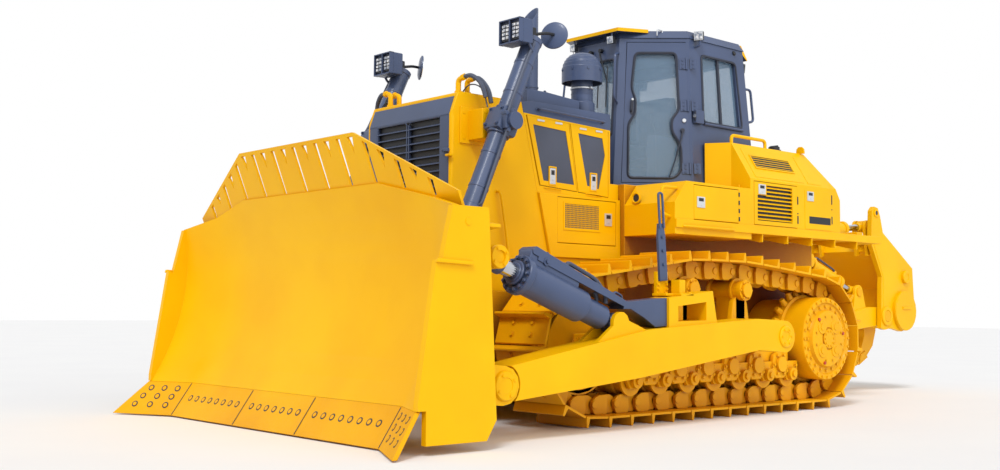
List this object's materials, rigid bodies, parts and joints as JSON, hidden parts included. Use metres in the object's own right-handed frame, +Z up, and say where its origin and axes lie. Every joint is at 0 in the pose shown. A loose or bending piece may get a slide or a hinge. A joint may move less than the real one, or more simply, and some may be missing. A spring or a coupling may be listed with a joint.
{
  "type": "bulldozer",
  "caption": "Large track-type bulldozer with a semi-U blade on push arms, a glazed cab and a parallelogram ripper with one shank at the rear.",
  "frame": {"origin": "middle of the footprint on the ground, at the level of the grouser tips", "axes": "+Z up, the blade faces -Y, the ripper is at +Y and the machine's left side is +X"},
  "size_m": [4.32, 9.53, 3.8503],
  "materials": {
    "yellow_paint": "glossy",
    "slate_paint": "satin",
    "black_paint": "satin",
    "cab_trim": "matte",
    "seat_fabric": "woven",
    "chrome_rod": "polished",
    "bare_steel": "worn bright",
    "lamp_housing": "satin",
    "cab_glass": "tinted",
    "mirror_glass": "polished",
    "hose_rubber": "satin",
    "red_plastic": "gloss"
  },
  "bodies": {
    "tractor": {"main_frame": "yellow_paint", "engine_block": "black_paint", "radiator_guard": "yellow_paint", "grille": "slate_paint", "hood": "slate_paint", "side_box_left": "yellow_paint", "side_box_right": "yellow_paint", "exhaust": "slate_paint", "precleaner": "slate_paint", "fender_left": "yellow_paint", "fender_right": "yellow_paint", "cab_floor": "cab_trim", "cab_shell": "slate_paint", "cab_roof": "slate_paint", "seat": "seat_fabric", "track_left": "yellow_paint", "track_right": "yellow_paint", "track_frame_left": "yellow_paint", "track_frame_right": "yellow_paint", "final_drive_left": "yellow_paint", "final_drive_right": "yellow_paint", "ripper_bracket": "yellow_paint"},
    "push_arms": {"push_arm_left": "yellow_paint", "push_arm_right": "yellow_paint", "arm_guard_left": "slate_paint", "arm_guard_right": "slate_paint"},
    "blade": {"blade": "yellow_paint", "cutting_edge": "yellow_paint"},
    "lift_barrel_left": {"lift_barrel_left": "slate_paint"},
    "lift_rod_left": {"lift_rod_left": "chrome_rod"},
    "tilt_barrel_left": {"tilt_barrel_left": "slate_paint"},
    "tilt_rod_left": {"tilt_rod_left": "chrome_rod"},
    "ripper_lift_barrel_left": {"ripper_lift_barrel_left": "yellow_paint"},
    "ripper_lift_rod_left": {"ripper_lift_rod_left": "chrome_rod"},
    "ripper_tilt_barrel_left": {"ripper_tilt_barrel_left": "yellow_paint"},
    "ripper_tilt_rod_left": {"ripper_tilt_rod_left": "chrome_rod"},
    "cab_door_left": {"cab_door_left": "slate_paint"},
    "hood_front_door_left": {"hood_front_door_left": "yellow_paint"},
    "hood_rear_door_left": {"hood_rear_door_left": "yellow_paint"},
    "service_door_left": {"service_door_left": "yellow_paint"},
    "fender_door_left": {"fender_door_left": "yellow_paint"},
    "tank_door_left": {"tank_door_left": "yellow_paint"},
    "lift_barrel_right": {"lift_barrel_right": "slate_paint"},
    "lift_rod_right": {"lift_rod_right": "chrome_rod"},
    "tilt_barrel_right": {"tilt_barrel_right": "slate_paint"},
    "tilt_rod_right": {"tilt_rod_right": "chrome_rod"},
    "ripper_lift_barrel_right": {"ripper_lift_barrel_right": "yellow_paint"},
    "ripper_lift_rod_right": {"ripper_lift_rod_right": "chrome_rod"},
    "ripper_tilt_barrel_right": {"ripper_tilt_barrel_right": "yellow_paint"},
    "ripper_tilt_rod_right": {"ripper_tilt_rod_right": "chrome_rod"},
    "cab_door_right": {"cab_door_right": "slate_paint"},
    "hood_front_door_right": {"hood_front_door_right": "yellow_paint"},
    "hood_rear_door_right": {"hood_rear_door_right": "yellow_paint"},
    "service_door_right": {"service_door_right": "yellow_paint"},
    "fender_door_right": {"fender_door_right": "yellow_paint"},
    "tank_door_right": {"tank_door_right": "yellow_paint"},
    "ripper_link": {"ripper_link": "yellow_paint"},
    "ripper_cross_shaft": {"ripper_cross_shaft": "yellow_paint"},
    "ripper_beam": {"ripper_beam": "yellow_paint", "ripper_shank": "yellow_paint"}
  },
  "joints": [
    {"name": "blade_lift", "type": "hinge", "parent": "tractor", "child": "push_arms", "pos_m": [0, -0.005, 0.76], "axis": [-1, 0, 0], "range_deg": [-6, 17]},
    {"name": "blade_pitch", "type": "hinge", "parent": "push_arms", "child": "blade", "pos_m": [0, -3.525, 0.43], "axis": [1, 0, 0], "range_deg": [-6, 6]},
    {"name": "lift_barrel_left_swing", "type": "hinge", "parent": "tractor", "child": "lift_barrel_left", "pos_m": [0.95, -2.775, 2.57], "axis": [-1, 0, 0], "range_deg": [-7, 17]},
    {"name": "lift_rod_left_slide", "type": "slide", "parent": "lift_barrel_left", "child": "lift_rod_left", "axis": [0, -0.4108, -0.9117], "range_m": [-1.06, 0.4]},
    {"name": "tilt_barrel_left_swing", "type": "hinge", "parent": "push_arms", "child": "tilt_barrel_left", "pos_m": [1.7, -2.225, 0.885], "axis": [-1, 0, 0], "range_deg": [-4, 4]},
    {"name": "tilt_rod_left_slide", "type": "slide", "parent": "tilt_barrel_left", "child": "tilt_rod_left", "axis": [0, -0.9416, 0.3368], "range_m": [-0.12, 0.12]},
    {"name": "lift_barrel_right_swing", "type": "hinge", "parent": "tractor", "child": "lift_barrel_right", "pos_m": [-0.95, -2.775, 2.57], "axis": [-1, 0, 0], "range_deg": [-7, 17]},
    {"name": "lift_rod_right_slide", "type": "slide", "parent": "lift_barrel_right", "child": "lift_rod_right", "axis": [0, -0.4108, -0.9117], "range_m": [-1.06, 0.4]},
    {"name": "tilt_barrel_right_swing", "type": "hinge", "parent": "push_arms", "child": "tilt_barrel_right", "pos_m": [-1.7, -2.225, 0.885], "axis": [-1, 0, 0], "range_deg": [-4, 4]},
    {"name": "tilt_rod_right_slide", "type": "slide", "parent": "tilt_barrel_right", "child": "tilt_rod_right", "axis": [0, -0.9416, 0.3368], "range_m": [-0.12, 0.12]},
    {"name": "ripper_lift", "type": "hinge", "parent": "tractor", "child": "ripper_link", "pos_m": [0, 2.675, 0.8], "axis": [-1, 0, 0], "range_deg": [0, 38]},
    {"name": "ripper_cross_shaft_turn", "type": "hinge", "parent": "ripper_link", "child": "ripper_cross_shaft", "pos_m": [0, 4.075, 0.95], "axis": [-1, 0, 0], "range_deg": [-40, 2]},
    {"name": "ripper_tilt", "type": "hinge", "parent": "ripper_cross_shaft", "child": "ripper_beam", "pos_m": [0, 4.075, 0.95], "axis": [-1, 0, 0], "range_deg": [-10, 10]},
    {"name": "ripper_lift_barrel_left_swing", "type": "hinge", "parent": "tractor", "child": "ripper_lift_barrel_left", "pos_m": [0.33, 2.575, 1.6], "axis": [-1, 0, 0], "range_deg": [-2, 26]},
    {"name": "ripper_lift_rod_left_slide", "type": "slide", "parent": "ripper_lift_barrel_left", "child": "ripper_lift_rod_left", "axis": [0, 0.9449, -0.3275], "range_m": [-0.02, 0.45]},
    {"name": "ripper_tilt_barrel_left_swing", "type": "hinge", "parent": "tractor", "child": "ripper_tilt_barrel_left", "pos_m": [0.33, 2.445, 1.92], "axis": [-1, 0, 0], "range_deg": [-2, 40]},
    {"name": "ripper_tilt_rod_left_slide", "type": "slide", "parent": "ripper_tilt_barrel_left", "child": "ripper_tilt_rod_left", "axis": [0, 0.9943, 0.1065], "range_m": [-0.22, 0.22]},
    {"name": "ripper_lift_barrel_right_swing", "type": "hinge", "parent": "tractor", "child": "ripper_lift_barrel_right", "pos_m": [-0.33, 2.575, 1.6], "axis": [-1, 0, 0], "range_deg": [-2, 26]},
    {"name": "ripper_lift_rod_right_slide", "type": "slide", "parent": "ripper_lift_barrel_right", "child": "ripper_lift_rod_right", "axis": [0, 0.9449, -0.3275], "range_m": [-0.02, 0.45]},
    {"name": "ripper_tilt_barrel_right_swing", "type": "hinge", "parent": "tractor", "child": "ripper_tilt_barrel_right", "pos_m": [-0.33, 2.445, 1.92], "axis": [-1, 0, 0], "range_deg": [-2, 40]},
    {"name": "ripper_tilt_rod_right_slide", "type": "slide", "parent": "ripper_tilt_barrel_right", "child": "ripper_tilt_rod_right", "axis": [0, 0.9943, 0.1065], "range_m": [-0.22, 0.22]},
    {"name": "cab_door_left_hinge", "type": "hinge", "parent": "tractor", "child": "cab_door_left", "pos_m": [0.8443, -0.1459, 2.2456], "axis": [-0.041, 0.001, 0.9992], "range_deg": [0, 105]},
    {"name": "cab_door_right_hinge", "type": "hinge", "parent": "tractor", "child": "cab_door_right", "pos_m": [-0.8443, -0.1459, 2.2456], "axis": [-0.041, -0.001, -0.9992], "range_deg": [0, 105]},
    {"name": "hood_front_door_left_hinge", "type": "hinge", "parent": "tractor", "child": "hood_front_door_left", "pos_m": [0.62, -2.2, 2.748], "axis": [0, -0.9993, 0.0361], "range_deg": [0, 75]},
    {"name": "hood_front_door_right_hinge", "type": "hinge", "parent": "tractor", "child": "hood_front_door_right", "pos_m": [-0.62, -2.2, 2.748], "axis": [0, 0.9993, -0.0361], "range_deg": [0, 75]},
    {"name": "hood_rear_door_left_hinge", "type": "hinge", "parent": "tractor", "child": "hood_rear_door_left", "pos_m": [0.62, -1.637, 2.7277], "axis": [0, -0.9993, 0.0361], "range_deg": [0, 75]},
    {"name": "hood_rear_door_right_hinge", "type": "hinge", "parent": "tractor", "child": "hood_rear_door_right", "pos_m": [-0.62, -1.637, 2.7277], "axis": [0, 0.9993, -0.0361], "range_deg": [0, 75]},
    {"name": "service_door_left_hinge", "type": "hinge", "parent": "tractor", "child": "service_door_left", "pos_m": [0.65, -1.82, 1.815], "axis": [0, 0, -1], "range_deg": [0, 110]},
    {"name": "service_door_right_hinge", "type": "hinge", "parent": "tractor", "child": "service_door_right", "pos_m": [-0.65, -1.82, 1.815], "axis": [0, 0, 1], "range_deg": [0, 110]},
    {"name": "fender_door_left_hinge", "type": "hinge", "parent": "tractor", "child": "fender_door_left", "pos_m": [1.33, -0.013, 2.01], "axis": [0, 0, 1], "range_deg": [0, 110]},
    {"name": "fender_door_right_hinge", "type": "hinge", "parent": "tractor", "child": "fender_door_right", "pos_m": [-1.33, -0.013, 2.01], "axis": [0, 0, -1], "range_deg": [0, 110]},
    {"name": "tank_door_left_hinge", "type": "hinge", "parent": "tractor", "child": "tank_door_left", "pos_m": [1.33, 0.975, 2.07], "axis": [0, 0, 1], "range_deg": [0, 110]},
    {"name": "tank_door_right_hinge", "type": "hinge", "parent": "tractor", "child": "tank_door_right", "pos_m": [-1.33, 0.975, 2.07], "axis": [0, 0, -1], "range_deg": [0, 110]}
  ],
  "couplings": [
    {"joint": "lift_barrel_left_swing", "follows": "blade_lift", "ratio": 0.855},
    {"joint": "lift_rod_left_slide", "follows": "blade_lift", "m_per_rad": -3.2945},
    {"joint": "tilt_barrel_left_swing", "follows": "blade_pitch", "ratio": -0.26},
    {"joint": "tilt_rod_left_slide", "follows": "blade_pitch", "m_per_rad": 0.8594},
    {"joint": "lift_barrel_right_swing", "follows": "blade_lift", "ratio": 0.855},
    {"joint": "lift_rod_right_slide", "follows": "blade_lift", "m_per_rad": -3.2945},
    {"joint": "tilt_barrel_right_swing", "follows": "blade_pitch", "ratio": -0.26},
    {"joint": "tilt_rod_right_slide", "follows": "blade_pitch", "m_per_rad": 0.8594},
    {"joint": "ripper_cross_shaft_turn", "follows": "ripper_lift", "ratio": -1},
    {"joint": "ripper_lift_barrel_left_swing", "follows": "ripper_lift", "ratio": 0.635},
    {"joint": "ripper_lift_rod_left_slide", "follows": "ripper_lift", "m_per_rad": 0.6303},
    {"joint": "ripper_tilt_barrel_left_swing", "follows": "ripper_lift", "ratio": 1},
    {"joint": "ripper_tilt_rod_left_slide", "follows": "ripper_tilt", "m_per_rad": 1.1173},
    {"joint": "ripper_lift_barrel_right_swing", "follows": "ripper_lift", "ratio": 0.635},
    {"joint": "ripper_lift_rod_right_slide", "follows": "ripper_lift", "m_per_rad": 0.6303},
    {"joint": "ripper_tilt_barrel_right_swing", "follows": "ripper_lift", "ratio": 1},
    {"joint": "ripper_tilt_rod_right_slide", "follows": "ripper_tilt", "m_per_rad": 1.1173}
  ]
}
